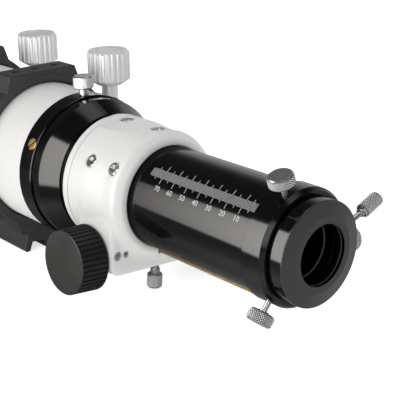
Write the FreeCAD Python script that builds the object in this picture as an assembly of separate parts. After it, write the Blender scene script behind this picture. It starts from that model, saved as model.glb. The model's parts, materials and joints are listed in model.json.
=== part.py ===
"""80 mm f/7 refractor telescope with a rack-and-pinion focuser, tube rings and a dovetail bar.

Frame: millimetres. +X runs along the optical axis towards the eyepiece, +Z is up and -Y is the
observer's left. The origin is the centre of the rear face that takes the eyepiece.
The focuser is modelled turned a few degrees on its rotator; `turned` puts its pieces there.
"""
import FreeCAD, Part
import math
import os

from FreeCAD import Vector

os.makedirs("parts", exist_ok=True)

# ---------------------------------------------------------------- driving dimensions
FOCUSER_TURN = 5.0          # degrees the focuser is turned, left side raised

# eyepiece adapter, 2 inch to 1.25 inch
EYEPIECE_BORE_R = 15.95     # takes a 31.75 mm barrel
ADAPTER_R = 27.5
ADAPTER_FACE_R = 19.8       # flat ring round the bore
ADAPTER_EDGE_X = -1.4       # where the shallow cone meets the rim
ADAPTER_FRONT_X = -10.6
ADAPTER_BARREL_R = 25.35    # 2 inch barrel
ADAPTER_BARREL_LENGTH = 25.4
ADAPTER_SCREW_X = -4.6
ADAPTER_SCREW_ANGLE = -70.0

# drawtube and its rear collar
COLLAR_R = 31.2
COLLAR_REAR_X = -10.7
COLLAR_FRONT_X = -25.0
COLLAR_BORE_R = 25.45
COLLAR_SCREW_X = -16.2
COLLAR_SCREW_ANGLES = {"upper": 19.0, "lower": 139.0, "far": 259.0}
DRAWTUBE_R = 29.25
DRAWTUBE_BORE_R = 25.9
DRAWTUBE_FRONT_X = -161.0
DRAWTUBE_FLAT_Z = -27.8     # milled flat that carries the rack

# focuser body
BODY_FRONT_X = -164.3
BODY_REAR_X = -115.0
BODY_R = 38.0
BODY_WAIST_R = 36.5
BODY_RIM_R = 37.3
BODY_BORE_R = 29.35
BLOCK_X = (-151.8, -120.5)  # pinion block
BLOCK_HALF_WIDTH = 35.3
BLOCK_BOTTOM_Z = -44.1
SLOT_HALF_WIDTH = 5.5
SLOT_Z = -33.0
STRIP_ANGLES = (60.0, -60.0)
STRIP_SCREW_X = (-144.4, -124.5)
SHOE_CENTRE = (-140.0, 3.3, 36.97)  # finder shoe seat: centre, slope to the rear, tilt to the left
SHOE_SLOPE = 0.8
SHOE_TILT = 5.1
SHOE_SCREW_X = (-14.2, 13.8)
BLOCK_SCREWS = ((30.4, 2.45), (24.8, 1.8))      # distance from the middle, radius
PLATE_X = (-149.0, -128.5)
PLATE_HALF = 15.0
PLATE_TOP_Z = -41.7

# rack and pinion
MODULE = 0.6
PINION_TEETH = 15
PRESSURE_ANGLE = math.radians(20.0)
TOOTH_ADDENDUM = 0.8 * MODULE
TOOTH_DEDENDUM = 1.1 * MODULE
TOOTH_BACKLASH = 0.03       # taken off each flank
PITCH_R = MODULE * PINION_TEETH / 2.0
TOOTH_PITCH = math.pi * MODULE
PINION_X = -140.0
PINION_Z = -36.4
RACK_PITCH_Z = PINION_Z + PITCH_R
RACK_HALF_WIDTH = 5.0
RACK_X = (-159.0, -31.0)
RACK_SCREW_X = (-150.0, -95.0, -40.0)
RACK_SCREW_SEAT_Z = -29.5   # deep enough for the heads to clear the pinion
SHAFT_R = 3.0
BUSH_Y = (24.0, 35.2)
BUSH_R = 5.0

# knobs
COARSE_KNOB_R = (19.1, 18.5)        # at the focuser, at the outer face
COARSE_KNOB_Y = (35.9, 53.6)
COARSE_KNOB_RIBS = 40
FINE_KNOB_R = 11.0
FINE_KNOB_Y = (54.3, 66.0)
SUN_R = 1.0
BALL_R = 3.96
BALL_ORBIT = 5.0
BALL_Y = 44.1
FOCUS_LOCK_X = -124.0

# rotator and tube flange
ROTATOR_REAR_R = 37.4
ROTATOR_REAR_X = -168.1
ROTATOR_BAND_R = 43.9
ROTATOR_BAND_X = -179.8
ROTATOR_FRONT_X = -187.0
ROTATOR_SPIGOT_R = 39.4
ROTATOR_BORE_R = 33.0
FLANGE_R = 45.0
FLANGE_FRONT_X = -199.0
FLANGE_SCREW_X = -191.7
FLANGE_SCREW_ANGLES = (60.0, 180.0, 300.0)
ROTATION_LOCK_X = -191.7

# main tube
TUBE_R = 44.5
TUBE_BORE_R = 42.5
TUBE_FRONT_X = -519.0

# tube rings, clamp knobs and dovetail bar
RING_X = {"rear": -244.0, "front": -330.5}
RING_WIDTH = 19.0
RING_BORE_R = 46.0
RING_R = 50.5
RING_BLOCK_Z = 52.8
RING_BLOCK_HALF = (24.0, 26.8)      # at the outer face, at the ring
BLOCK_HOLE_SPACING = 14.5
BLOCK_HOLE_R = 2.5          # M6 at the tapping radius
HINGE_Y = -55.5
HINGE_KNUCKLE_R = 4.6
HINGE_PIN_R = 2.0
CLAMP_Y = 58.0
CLAMP_KNOB_R = 14.3
CLAMP_KNOB_Z = (32.6, 36.3, 56.4)   # cone bottom, flute bottom, top
CLAMP_FLUTES = 24
LUG_Z = (-12.0, 14.0)
BAR_X = (-386.8, -236.8)
BAR_TOP_Z = -RING_BLOCK_Z - 0.02
BAR_BOTTOM_Z = -66.0
BAR_HALF = (18.5, 22.0)             # top, bottom
TRIPOD_X = (RING_X["rear"] + RING_X["front"]) / 2

# objective end
APERTURE_R = 40.0
LENS_R = 40.8
CELL_R = 46.5
CELL_FRONT_X = -551.0
DEW_SHIELD_R = 51.5
DEW_SHIELD_BORE_R = 49.6
DEW_SHIELD_X = (-648.0, -530.5)
DEW_RING_REAR_X = (-530.4, -523.0)
DEW_LOCK_X = -526.8
DEW_LOCK_ANGLE = -60.0
CROWN_EDGE = (-546.0, -543.0)
FLINT_EDGE = (-542.2, -534.2)
CROWN_CURVES = (330.0, 205.0)       # radii of the front and rear face
FLINT_CURVES = (200.0, 700.0)

TOUCH = 0.02                # air left between pieces that are fixed together
SLIDE = 0.08                # air left in a sliding or turning fit

ORIGIN = Vector(0, 0, 0)
AXIS_X = Vector(1, 0, 0)
AXIS_Y = Vector(0, 1, 0)
AXIS_Z = Vector(0, 0, 1)


# ---------------------------------------------------------------- shape helpers
def outline(points):
    """Closed wire in the XZ plane through (x, r) or (x, r, corner radius) points."""
    corners = []
    for i, point in enumerate(points):
        here = Vector(point[0], 0, point[1])
        before = Vector(points[i - 1][0], 0, points[i - 1][1])
        after = Vector(points[(i + 1) % len(points)][0], 0, points[(i + 1) % len(points)][1])
        radius = point[2] if len(point) > 2 else 0.0
        if radius == 0.0:
            corners.append((here, None, here))
            continue
        back = (before - here).normalize()
        ahead = (after - here).normalize()
        half = back.getAngle(ahead) / 2.0
        reach = radius / math.tan(half)
        middle = here + (back + ahead).normalize() * (radius / math.sin(half) - radius)
        corners.append((here + back * reach, middle, here + ahead * reach))
    edges = []
    for i, (start, middle, end) in enumerate(corners):
        if middle is not None:
            edges.append(Part.Arc(start, middle, end).toShape())
        following = corners[(i + 1) % len(corners)][0]
        if (following - end).Length > 1e-6:
            edges.append(Part.makeLine(end, following))
    return Part.Wire(edges)


def turn(points):
    """Solid of revolution about the optical axis from an (x, r) outline."""
    return Part.Face(outline(points)).revolve(ORIGIN, AXIS_X, 360)


def turn_upright(points):
    """Solid of revolution about +Z from a (z, r) outline."""
    shape = turn(points)
    shape.rotate(ORIGIN, AXIS_Y, -90)
    return shape


def turn_across(points):
    """Solid of revolution about +Y from a (y, r) outline."""
    shape = turn(points)
    shape.rotate(ORIGIN, AXIS_Z, 90)
    return shape


def pipe(x0, x1, outer, inner):
    return turn([(x0, inner), (x1, inner), (x1, outer), (x0, outer)])


def rod(x, y, z, direction, radius, length):
    return Part.makeCylinder(radius, length, Vector(x, y, z), direction)


def box(x0, x1, y0, y1, z0, z1):
    return Part.makeBox(x1 - x0, y1 - y0, z1 - z0, Vector(x0, y0, z0))


def prism_x(points, x0, x1):
    """Solid with a (y, z) outline, running from x0 to x1."""
    corners = [Vector(x0, y, z) for y, z in points]
    face = Part.Face(Part.makePolygon(corners + corners[:1]))
    return face.extrude(Vector(x1 - x0, 0, 0))


def prism_y(points, y0, y1):
    """Solid with an (x, z) outline, running from y0 to y1."""
    corners = [Vector(x, y0, z) for x, z in points]
    face = Part.Face(Part.makePolygon(corners + corners[:1]))
    return face.extrude(Vector(0, y1 - y0, 0))


def hexagon(across_flats, z0, z1):
    """Hexagonal prism along +Z."""
    radius = across_flats / math.sqrt(3.0)
    corners = []
    for i in range(7):
        angle = math.radians(60 * i)
        corners.append(Vector(radius * math.cos(angle), radius * math.sin(angle), z0))
    return Part.Face(Part.makePolygon(corners)).extrude(Vector(0, 0, z1 - z0))


def moved(shape, x=0.0, y=0.0, z=0.0):
    copy = shape.copy()
    copy.translate(Vector(x, y, z))
    return copy


def radial(shape, x, angle):
    """Places a shape built along +Z so that it points outwards at the angle, left side positive."""
    copy = shape.copy()
    copy.rotate(ORIGIN, AXIS_X, angle)
    copy.translate(Vector(x, 0, 0))
    return copy


def turned(shape):
    """Turns a focuser piece about the optical axis into its modelled position."""
    copy = shape.copy()
    copy.rotate(ORIGIN, AXIS_X, -FOCUSER_TURN)
    return copy


def mirrored_y(shape):
    return shape.mirror(ORIGIN, AXIS_Y)


def around(shape, count, axis):
    """The shape repeated about an axis through the origin."""
    copies = []
    for i in range(count):
        copy = shape.copy()
        copy.rotate(ORIGIN, axis, 360.0 * i / count)
        copies.append(copy)
    return copies


def save(name, shape):
    """Writes one node; a list of solids becomes one node of separate solids."""
    if isinstance(shape, list):
        shape = Part.makeCompound(shape)
    for solid in shape.Solids:
        assert solid.isValid(), name
    shape.exportStep("parts/" + name + ".step")


# ---------------------------------------------------------------- fasteners
def thumbscrew(tip, stem_top, head_top, stem_r, head_r, neck_r, neck):
    """Knurled thumbscrew along +Z: plain stem, short neck, flat head."""
    return turn_upright([
        (tip, 0.0), (tip, stem_r - 0.3), (tip + 0.3, stem_r), (stem_top - neck, stem_r),
        (stem_top - neck, neck_r), (stem_top, neck_r), (stem_top, head_r - 0.5),
        (stem_top + 0.5, head_r), (head_top - 0.4, head_r), (head_top, head_r - 0.4),
        (head_top, 0.0),
    ])


def socket_screw(tip, top, radius, across_flats, socket_depth):
    """Headless hexagon-socket screw along +Z."""
    body = turn_upright([
        (tip, 0.0), (tip, radius - 0.4), (tip + 0.4, radius), (top - 0.3, radius),
        (top, radius - 0.3), (top, 0.0),
    ])
    return body.cut(hexagon(across_flats, top - socket_depth, top + 1.0))


def cap_screw(tip, seat, top, stem_r, head_r, across_flats):
    """Cylinder-head hexagon-socket screw along +Z."""
    body = turn_upright([
        (tip, 0.0), (tip, stem_r), (seat, stem_r), (seat, head_r), (top - 0.4, head_r),
        (top, head_r - 0.4), (top, 0.0),
    ])
    return body.cut(hexagon(across_flats, seat + 0.5 * (top - seat), top + 1.0))


def slotted_screw(tip, top, stem_r, head_r, head_height, slot):
    body = turn_upright([
        (tip, 0.0), (tip, stem_r), (top - head_height, stem_r), (top - head_height, head_r),
        (top - 0.3, head_r), (top, head_r - 0.3), (top, 0.0),
    ])
    return body.cut(box(-slot / 2, slot / 2, -head_r, head_r, top - head_height * 0.6, top + 1))


# ---------------------------------------------------------------- eyepiece end
def eyepiece_adapter():
    barrel_front = ADAPTER_FRONT_X - ADAPTER_BARREL_LENGTH
    body = turn([
        (0.0, EYEPIECE_BORE_R), (0.0, ADAPTER_FACE_R), (ADAPTER_EDGE_X, ADAPTER_R - 0.1, 0.5),
        (ADAPTER_EDGE_X - 1.0, ADAPTER_R), (ADAPTER_FRONT_X, ADAPTER_R, 0.4),
        (ADAPTER_FRONT_X, ADAPTER_BARREL_R), (barrel_front + 1.0, ADAPTER_BARREL_R),
        (barrel_front, ADAPTER_BARREL_R - 1.0), (barrel_front, 20.5),
        (barrel_front + 9.0, 20.5), (barrel_front + 9.0, EYEPIECE_BORE_R),
    ])
    ring_groove = pipe(-6.9, -2.3, EYEPIECE_BORE_R + 1.5, EYEPIECE_BORE_R - 1.0)
    undercut = pipe(-22.0, -14.0, ADAPTER_BARREL_R + 1.0, ADAPTER_BARREL_R - 0.6)
    thread = radial(rod(0, 0, 14.0, AXIS_Z, 1.55, 20.0), ADAPTER_SCREW_X, ADAPTER_SCREW_ANGLE)
    return body.cut([ring_groove, undercut, thread])


def split_ring(x0, x1, outer, inner, gap_angle):
    """Brass compression ring with a gap that lets it close on the barrel."""
    ring = pipe(x0, x1, outer, inner)
    gap = radial(box(-10, 10, -0.6, 0.6, inner - 1, outer + 1), (x0 + x1) / 2, gap_angle)
    return ring.cut(gap)


def drawtube_collar():
    body = turn([
        (COLLAR_FRONT_X, 28.0 + TOUCH), (COLLAR_FRONT_X, COLLAR_R - 0.35),
        (COLLAR_FRONT_X + 0.35, COLLAR_R), (-12.85, COLLAR_R, 0.3), (-10.95, 29.75, 0.3),
        (COLLAR_REAR_X, 29.55), (COLLAR_REAR_X, 27.9), (COLLAR_REAR_X - 0.8, 27.9),
        (COLLAR_REAR_X - 0.8, COLLAR_BORE_R), (-18.8, COLLAR_BORE_R), (-18.8, 28.0 + TOUCH),
    ])
    ring_groove = pipe(-18.0, -14.2, COLLAR_BORE_R + 1.9, COLLAR_BORE_R - 1.0)
    threads = []
    for angle in COLLAR_SCREW_ANGLES.values():
        threads.append(radial(rod(0, 0, 24.5, AXIS_Z, 1.55, 10.0), COLLAR_SCREW_X, angle))
    return body.cut([ring_groove] + threads)


def drawtube():
    body = turn([
        (DRAWTUBE_FRONT_X, DRAWTUBE_BORE_R + 0.8), (DRAWTUBE_FRONT_X, DRAWTUBE_R - 0.5),
        (DRAWTUBE_FRONT_X + 0.5, DRAWTUBE_R), (COLLAR_FRONT_X - 0.1, DRAWTUBE_R),
        (COLLAR_FRONT_X - 0.1, 28.0), (-19.0, 28.0), (-19.0, DRAWTUBE_BORE_R),
        (DRAWTUBE_FRONT_X + 0.8, DRAWTUBE_BORE_R),
    ])
    flat = box(RACK_X[0] - 0.3, RACK_X[1] + 0.3, -12, 12, -40, DRAWTUBE_FLAT_Z)
    cuts = [flat]
    for x in RACK_SCREW_X:
        cuts.append(rod(x, 0, -40, AXIS_Z, 1.0, 20))
    # shallow anti-reflection grooves in the bore
    for i in range(12):
        x = DRAWTUBE_FRONT_X + 6.0 + 10.5 * i
        cuts.append(pipe(x, x + 2.0, DRAWTUBE_BORE_R + 0.5, DRAWTUBE_BORE_R - 1.0))
    return body.cut(cuts)


def gear_rack():
    """Straight rack, teeth down, with a tooth gap centred over the pinion."""
    tip_z = RACK_PITCH_Z - TOOTH_ADDENDUM
    root_z = RACK_PITCH_Z + TOOTH_DEDENDUM
    half = TOOTH_PITCH / 4.0 - TOOTH_BACKLASH
    tip_half = half - TOOTH_ADDENDUM * math.tan(PRESSURE_ANGLE)
    root_half = half + TOOTH_DEDENDUM * math.tan(PRESSURE_ANGLE)
    points = [(RACK_X[0], DRAWTUBE_FLAT_Z - TOUCH), (RACK_X[0], root_z)]
    first = math.ceil((RACK_X[0] + 1.0 - PINION_X) / TOOTH_PITCH - 0.5)
    last = math.floor((RACK_X[1] - 1.0 - PINION_X) / TOOTH_PITCH - 0.5)
    for i in range(first, last + 1):
        centre = PINION_X + (i + 0.5) * TOOTH_PITCH
        points.append((centre - root_half, root_z))
        points.append((centre - tip_half, tip_z))
        points.append((centre + tip_half, tip_z))
        points.append((centre + root_half, root_z))
    points.append((RACK_X[1], root_z))
    points.append((RACK_X[1], DRAWTUBE_FLAT_Z - TOUCH))
    body = prism_y(points, -RACK_HALF_WIDTH, RACK_HALF_WIDTH)
    holes = []
    for x in RACK_SCREW_X:
        holes.append(rod(x, 0, -40, AXIS_Z, 1.05, 20))
        holes.append(rod(x, 0, tip_z - 1, AXIS_Z, 2.0, RACK_SCREW_SEAT_Z - tip_z + 1))
    return body.cut(holes)


def rack_screws():
    seat = RACK_SCREW_SEAT_Z
    screw = turn_upright([
        (seat - 1.3, 0.0), (seat - 1.3, 1.9), (seat - TOUCH, 1.9), (seat - TOUCH, 1.0 - TOUCH),
        (seat + 3.5, 1.0 - TOUCH), (seat + 3.5, 0.0),
    ])
    return [moved(screw, x=x) for x in RACK_SCREW_X]


# ---------------------------------------------------------------- focuser body
def focuser_body():
    shell = turn([
        (BODY_FRONT_X, 34.6), (BODY_FRONT_X, BODY_R, 0.6), (-145.0, BODY_R, 40.0),
        (-129.0, BODY_WAIST_R, 25.0), (-119.0, BODY_RIM_R, 5.0), (BODY_REAR_X, 33.0, 3.0),
        (BODY_REAR_X, BODY_BORE_R + 0.55), (BODY_REAR_X - 0.55, BODY_BORE_R),
        (-158.0, BODY_BORE_R), (-158.0, 34.6),
    ])
    profile = Part.Face(outline([
        (-BLOCK_HALF_WIDTH, -8.0), (-BLOCK_HALF_WIDTH, BLOCK_BOTTOM_Z, 8.0),
        (BLOCK_HALF_WIDTH, BLOCK_BOTTOM_Z, 8.0), (BLOCK_HALF_WIDTH, -8.0),
    ]))
    profile.rotate(ORIGIN, AXIS_Z, 90)
    profile.translate(Vector(BLOCK_X[0], 0, 0))
    block = profile.extrude(Vector(BLOCK_X[1] - BLOCK_X[0], 0, 0))
    ends = [e for e in block.Edges if ends_of_block(e)]
    block = block.makeFillet(2.5, ends)
    block = block.cut(rod(-170, 0, 0, AXIS_X, 32.0, 60))
    shell = shell.fuse(block)
    joins = [e for e in shell.Edges if joins_block_and_shell(e)]
    shell = shell.makeFillet(4.0, joins).removeSplitter()

    front_line = pipe(-159.4, -158.9, BODY_R + 1, BODY_R - 0.25)
    cuts = [front_line]
    cuts.append(box(-159.0, BODY_REAR_X + 5, -SLOT_HALF_WIDTH, SLOT_HALF_WIDTH, SLOT_Z, -25))
    cuts.append(rod(PINION_X, -SLOT_HALF_WIDTH, PINION_Z, AXIS_Y, 5.2, 2 * SLOT_HALF_WIDTH))
    cuts.append(rod(PINION_X, -60, PINION_Z, AXIS_Y, SHAFT_R + 0.3, 120))
    for side in (1, -1):
        bore = rod(PINION_X, side * BUSH_Y[0], PINION_Z, AXIS_Y * side, BUSH_R + TOUCH, 30)
        cuts.append(bore)
        for y, radius in BLOCK_SCREWS:
            cuts.append(rod(-130.0, side * y, PINION_Z + 5.2, AXIS_X, radius + 0.05, 30))
    cuts.append(box(*PLATE_X, -PLATE_HALF, PLATE_HALF, BLOCK_BOTTOM_Z - 1, PLATE_TOP_Z))
    for x, y in plate_screw_places():
        cuts.append(rod(x, y, BLOCK_BOTTOM_Z - 1, AXIS_Z, 1.0, 6))
    cuts.append(rod(FOCUS_LOCK_X, 0, BLOCK_BOTTOM_Z - 1, AXIS_Z, 1.8, 12))
    cuts.append(rod(FOCUS_LOCK_X, 0, -36.3, AXIS_Z, 2.55, 8))
    for angle in STRIP_ANGLES:
        cuts.append(radial(strip_block(31.0, 4.1), 0, angle))
        for x in STRIP_SCREW_X:
            cuts.append(radial(rod(0, 0, 30.0, AXIS_Z, 2.55, 12), x, angle))
            cuts.append(radial(rod(0, 0, 35.4, AXIS_Z, 3.85, 8), x, angle))
    ramp = [(-18.5, 0.0), (-23.8, 1.5), (-23.8, 12.0), (30.0, 12.0), (30.0, 0.0)]
    shoe_cuts = [on_shoe(prism_y(ramp, -40, 40))]
    for x in SHOE_SCREW_X:
        shoe_cuts.append(on_shoe(rod(x, 0, -5.5, AXIS_Z, 1.7, 8)))
        shoe_cuts.append(on_shoe(rod(x, 0, -2.4, AXIS_Z, 4.4, 8)))
    return turned(shell.cut(cuts)).cut(shoe_cuts).removeSplitter()


def on_shoe(shape):
    """Places a shape built with the finder shoe's seat as its z = 0 plane."""
    copy = shape.copy()
    copy.rotate(ORIGIN, AXIS_Y, -SHOE_SLOPE)
    copy.rotate(ORIGIN, AXIS_X, SHOE_TILT)
    copy.translate(Vector(*SHOE_CENTRE))
    return copy

def ends_of_block(edge):
    """True for the edges round the two X faces of the pinion block, open top left out."""
    xs = [v.X for v in edge.Vertexes]
    zs = [v.Z for v in edge.Vertexes]
    return abs(xs[0] - xs[-1]) < 1e-6 and min(zs) < -8.0 - 1e-6


def joins_block_and_shell(edge):
    """True for the edges where the pinion block's walls meet the round shell."""
    point = edge.valueAt((edge.FirstParameter + edge.LastParameter) / 2.0)
    radius = math.hypot(point.y, point.z)
    on_block = BLOCK_X[0] - 0.1 < point.x < BLOCK_X[1] + 0.1
    round_edge = isinstance(edge.Curve, Part.Circle)
    return on_block and not round_edge and point.z < -3.0 and 35.0 < radius < BODY_R + 0.05


def strip_block(outer, half_width):
    return box(-157.0, -117.0, -half_width, half_width, 27.0, outer)


def guide_strips():
    """Low-friction strips that the drawtube slides on, pressed in by the side screws."""
    strips = []
    for angle in STRIP_ANGLES:
        strip = strip_block(31.0 - TOUCH, 4.0)
        strip = strip.cut(rod(-170, 0, 0, AXIS_X, DRAWTUBE_R + SLIDE / 2, 60))
        strips.append(turned(radial(strip, 0, angle)))
    return strips


def strip_screws():
    screws = []
    for angle in STRIP_ANGLES:
        for x in STRIP_SCREW_X:
            screw = cap_screw(31.0, 35.4 + TOUCH, 37.6, 2.5, 3.65, 3.6)
            screws.append(turned(radial(screw, x, angle)))
    return screws


def shoe_screws():
    screw = cap_screw(-5.4, -2.4 + TOUCH, -0.7, 1.65, 3.7, 3.0)
    return [on_shoe(moved(screw, x=x)) for x in SHOE_SCREW_X]


def block_screws():
    """Small socket screws in the rear face of the pinion block, two each side."""
    screws = []
    for side in (1, -1):
        for y, radius in BLOCK_SCREWS:
            screw = socket_screw(0.5, 9.0, radius, radius, 2.0)
            screw.rotate(ORIGIN, AXIS_Y, 90)
            screws.append(turned(moved(screw, -130.0, side * y, PINION_Z + 5.2)))
    return screws


def plate_screw_places():
    return [(x, y) for x in (-146.8, -130.7) for y in (-12.0, 12.0)]


def pinion_plate():
    plate = box(PLATE_X[0] + 0.05, PLATE_X[1] - 0.05, -PLATE_HALF + 0.05, PLATE_HALF - 0.05,
                BLOCK_BOTTOM_Z + 0.1, PLATE_TOP_Z - TOUCH)
    holes = [rod(x, y, -50, AXIS_Z, 1.05, 12) for x, y in plate_screw_places()]
    return turned(plate.cut(holes))


def plate_screws():
    screw = cap_screw(0.0, 4.2, 5.4, 1.0 - TOUCH, 1.9, 1.6)
    screw.rotate(ORIGIN, AXIS_X, 180)
    top = BLOCK_BOTTOM_Z + 0.1 - TOUCH + 4.2
    return [turned(moved(screw, x, y, top)) for x, y in plate_screw_places()]


# ---------------------------------------------------------------- rack and pinion drive
def pinion_gear():
    """Involute spur gear, one tooth straight up into the rack."""
    base_r = PITCH_R * math.cos(PRESSURE_ANGLE)
    outer_r = PITCH_R + TOOTH_ADDENDUM
    root_r = PITCH_R - TOOTH_DEDENDUM
    pitch_half = (TOOTH_PITCH / 4.0 - TOOTH_BACKLASH) / PITCH_R
    involute = math.tan(PRESSURE_ANGLE) - PRESSURE_ANGLE

    def half_angle(radius):
        if radius <= base_r:
            return pitch_half + involute
        roll = math.acos(base_r / radius)
        return pitch_half + involute - (math.tan(roll) - roll)

    steps = 6
    radii = [root_r] + [base_r + (outer_r - base_r) * i / steps for i in range(steps + 1)]
    flank = [(r, -half_angle(r)) for r in radii]
    flank += [(r, half_angle(r)) for r in reversed(radii)]
    points = []
    for tooth in range(PINION_TEETH):
        centre = 2 * math.pi * tooth / PINION_TEETH
        for radius, angle in flank:
            points.append((radius * math.sin(centre + angle), radius * math.cos(centre + angle)))
    gear = prism_y(points, -4.5, 4.5).cut(rod(0, -6, 0, AXIS_Y, SHAFT_R + TOUCH, 12))
    return turned(moved(gear, PINION_X, 0, PINION_Z))


def on_pinion_axis(shape):
    return turned(moved(shape, PINION_X, 0, PINION_Z))


def pinion_shaft():
    shaft = turn_across([
        (-52.0, 0.0), (-52.0, SHAFT_R - 0.4), (-51.6, SHAFT_R), (38.5, SHAFT_R), (38.5, 0.0),
    ])
    return on_pinion_axis(shaft)


def pinion_bushes():
    bushes = []
    for side in (1, -1):
        bush = turn_across([
            (side * BUSH_Y[0], SHAFT_R + 0.05), (side * BUSH_Y[1], SHAFT_R + 0.05),
            (side * BUSH_Y[1], BUSH_R), (side * BUSH_Y[0], BUSH_R),
        ])
        bushes.append(on_pinion_axis(bush))
    return bushes


def ribbed_knob(points, radii, y0, y1, ribs, groove_r, depth):
    """Round knob about +Y whose rim, tapered or not, is cut into ribs by narrow grooves."""
    knob = turn_across(points)
    start = Vector(radii[0] + groove_r - depth, y0, 0)
    along = Vector(radii[1] - radii[0], y1 - y0, 0)
    groove = Part.makeCylinder(groove_r, along.Length, start, along)
    return knob.cut(around(groove, ribs, AXIS_Y))


def focus_knob_left():
    inner, outer = COARSE_KNOB_Y
    wide, narrow = COARSE_KNOB_R
    knob = ribbed_knob([
        (inner, SHAFT_R + TOUCH), (inner, wide - 0.6), (inner + 0.6, wide),
        (outer - 0.45, narrow), (outer, narrow - 0.45), (outer, 0.0),
        (52.1, 0.0), (52.1, SHAFT_R + TOUCH),
    ], COARSE_KNOB_R, inner - 1, outer - 0.5, COARSE_KNOB_RIBS, 0.55, 0.75)
    return on_pinion_axis(mirrored_y(knob))


def focus_knob_right():
    inner, outer = COARSE_KNOB_Y
    wide, narrow = COARSE_KNOB_R
    knob = ribbed_knob([
        (inner, 11.65), (inner, wide - 0.6), (inner + 0.6, wide),
        (outer - 0.45, narrow), (outer, narrow - 0.45), (outer, 1.6),
        (48.2, 1.6), (48.2, 11.65),
    ], COARSE_KNOB_R, inner - 1, outer - 0.5, COARSE_KNOB_RIBS, 0.55, 0.75)
    return on_pinion_axis(knob)


def reduction_housing():
    """Fixed race of the ten-to-one ball reduction, screwed to the pinion block."""
    ring_r = SUN_R + 2 * (BALL_ORBIT - SUN_R)
    housing = turn_across([
        (BLOCK_HALF_WIDTH + 0.05, SHAFT_R + 0.3), (BLOCK_HALF_WIDTH + 0.05, 11.4),
        (47.9, 11.4), (47.9, ring_r), (37.3, ring_r), (37.3, SHAFT_R + 0.3),
    ])
    return on_pinion_axis(housing)


def reduction_balls():
    ball = Part.makeSphere(BALL_R, Vector(BALL_ORBIT, BALL_Y, 0))
    return [on_pinion_axis(b) for b in around(ball, 3, AXIS_Y)]


def ball_carrier():
    """Disc with three fingers that the balls push round; it turns the knob and the shaft."""
    disc = rod(0, 38.5 + TOUCH, 0, AXIS_Y, 8.6, 1.4)
    finger = rod(7.3, 38.6, 0, AXIS_Y, 1.2, 48.2 - TOUCH - 38.6)
    finger.rotate(ORIGIN, AXIS_Y, 60)
    return on_pinion_axis(disc.fuse(around(finger, 3, AXIS_Y)).removeSplitter())


def fine_focus_shaft():
    shaft = turn_across([
        (40.1, 0.0), (40.1, SUN_R), (48.4, SUN_R), (48.4, 1.5), (64.0, 1.5), (64.0, 0.0),
    ])
    return on_pinion_axis(shaft)


def fine_focus_knob():
    inner, outer = FINE_KNOB_Y
    knob = ribbed_knob([
        (inner, 1.5 + TOUCH), (inner, FINE_KNOB_R - 1.5), (inner + 1.0, FINE_KNOB_R),
        (outer - 0.7, FINE_KNOB_R), (outer, FINE_KNOB_R - 0.7), (outer, 0.0), (64.1, 0.0),
        (64.1, 1.5 + TOUCH),
    ], (FINE_KNOB_R, FINE_KNOB_R), inner - 1, outer - 1.0, 28, 0.5, 0.6)
    return on_pinion_axis(knob)


def focus_lock_screw():
    """Lock screw under the focuser: stem, cone, knurled head."""
    screw = turn_upright([
        (-36.2, 0.0), (-36.2, 1.45), (-36.5, 1.75), (-45.0, 1.75), (-45.0, 2.3), (-45.9, 2.3),
        (-45.9, 2.8), (-48.4, 2.8), (-48.8, 3.7), (-49.2, 4.15), (-57.0, 4.15), (-57.6, 3.5),
        (-57.6, 0.0),
    ])
    return turned(moved(screw, x=FOCUS_LOCK_X))


def brake_pad():
    return turned(rod(FOCUS_LOCK_X, 0, -36.15, AXIS_Z, 2.5, 36.15 - 32.6))


# ---------------------------------------------------------------- rotator, flange, tube
def rotator_ring():
    body = turn([
        (-158.1, ROTATOR_BORE_R), (-158.1, 34.5), (BODY_FRONT_X - TOUCH, 34.5),
        (BODY_FRONT_X - TOUCH, 36.2), (ROTATOR_REAR_X, 36.2), (ROTATOR_REAR_X, ROTATOR_REAR_R, 0.4),
        (ROTATOR_BAND_X, ROTATOR_BAND_R, 1.5), (ROTATOR_FRONT_X + 0.7, ROTATOR_BAND_R),
        (ROTATOR_FRONT_X, ROTATOR_BAND_R - 0.7), (ROTATOR_FRONT_X, ROTATOR_SPIGOT_R),
        (-188.8, ROTATOR_SPIGOT_R), (-189.4, 37.8), (-194.0, 37.8), (-194.6, ROTATOR_SPIGOT_R),
        (-197.5, ROTATOR_SPIGOT_R), (-197.5, ROTATOR_BORE_R),
    ])
    return body


def tube_rear_flange():
    bore = ROTATOR_SPIGOT_R + SLIDE
    body = turn([
        (-212.0, bore), (-212.0, TUBE_BORE_R - TOUCH), (FLANGE_FRONT_X, TUBE_BORE_R - TOUCH),
        (FLANGE_FRONT_X, FLANGE_R - 0.3), (FLANGE_FRONT_X + 0.3, FLANGE_R),
        (-187.6, FLANGE_R), (-187.15, FLANGE_R - 0.45), (-187.15, bore),
    ])
    cuts = []
    for angle in FLANGE_SCREW_ANGLES:
        cuts.append(radial(rod(0, 0, 36, AXIS_Z, 1.5 + TOUCH, 12), FLANGE_SCREW_X, angle))
        cuts.append(radial(rod(0, 0, 43.2, AXIS_Z, 3.7, 6), FLANGE_SCREW_X, angle))
    cuts.append(rod(ROTATION_LOCK_X, 0, 36, AXIS_Z, 2.05, 12))
    return body.cut(cuts)


def flange_screws():
    """Brass screws whose tips run in the rotator groove and hold the focuser on."""
    screw = slotted_screw(38.1, 44.9, 1.5, 3.6, 1.6, 1.1)
    screw.rotate(ORIGIN, AXIS_Z, -40)
    return [radial(screw, FLANGE_SCREW_X, angle) for angle in FLANGE_SCREW_ANGLES]


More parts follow.
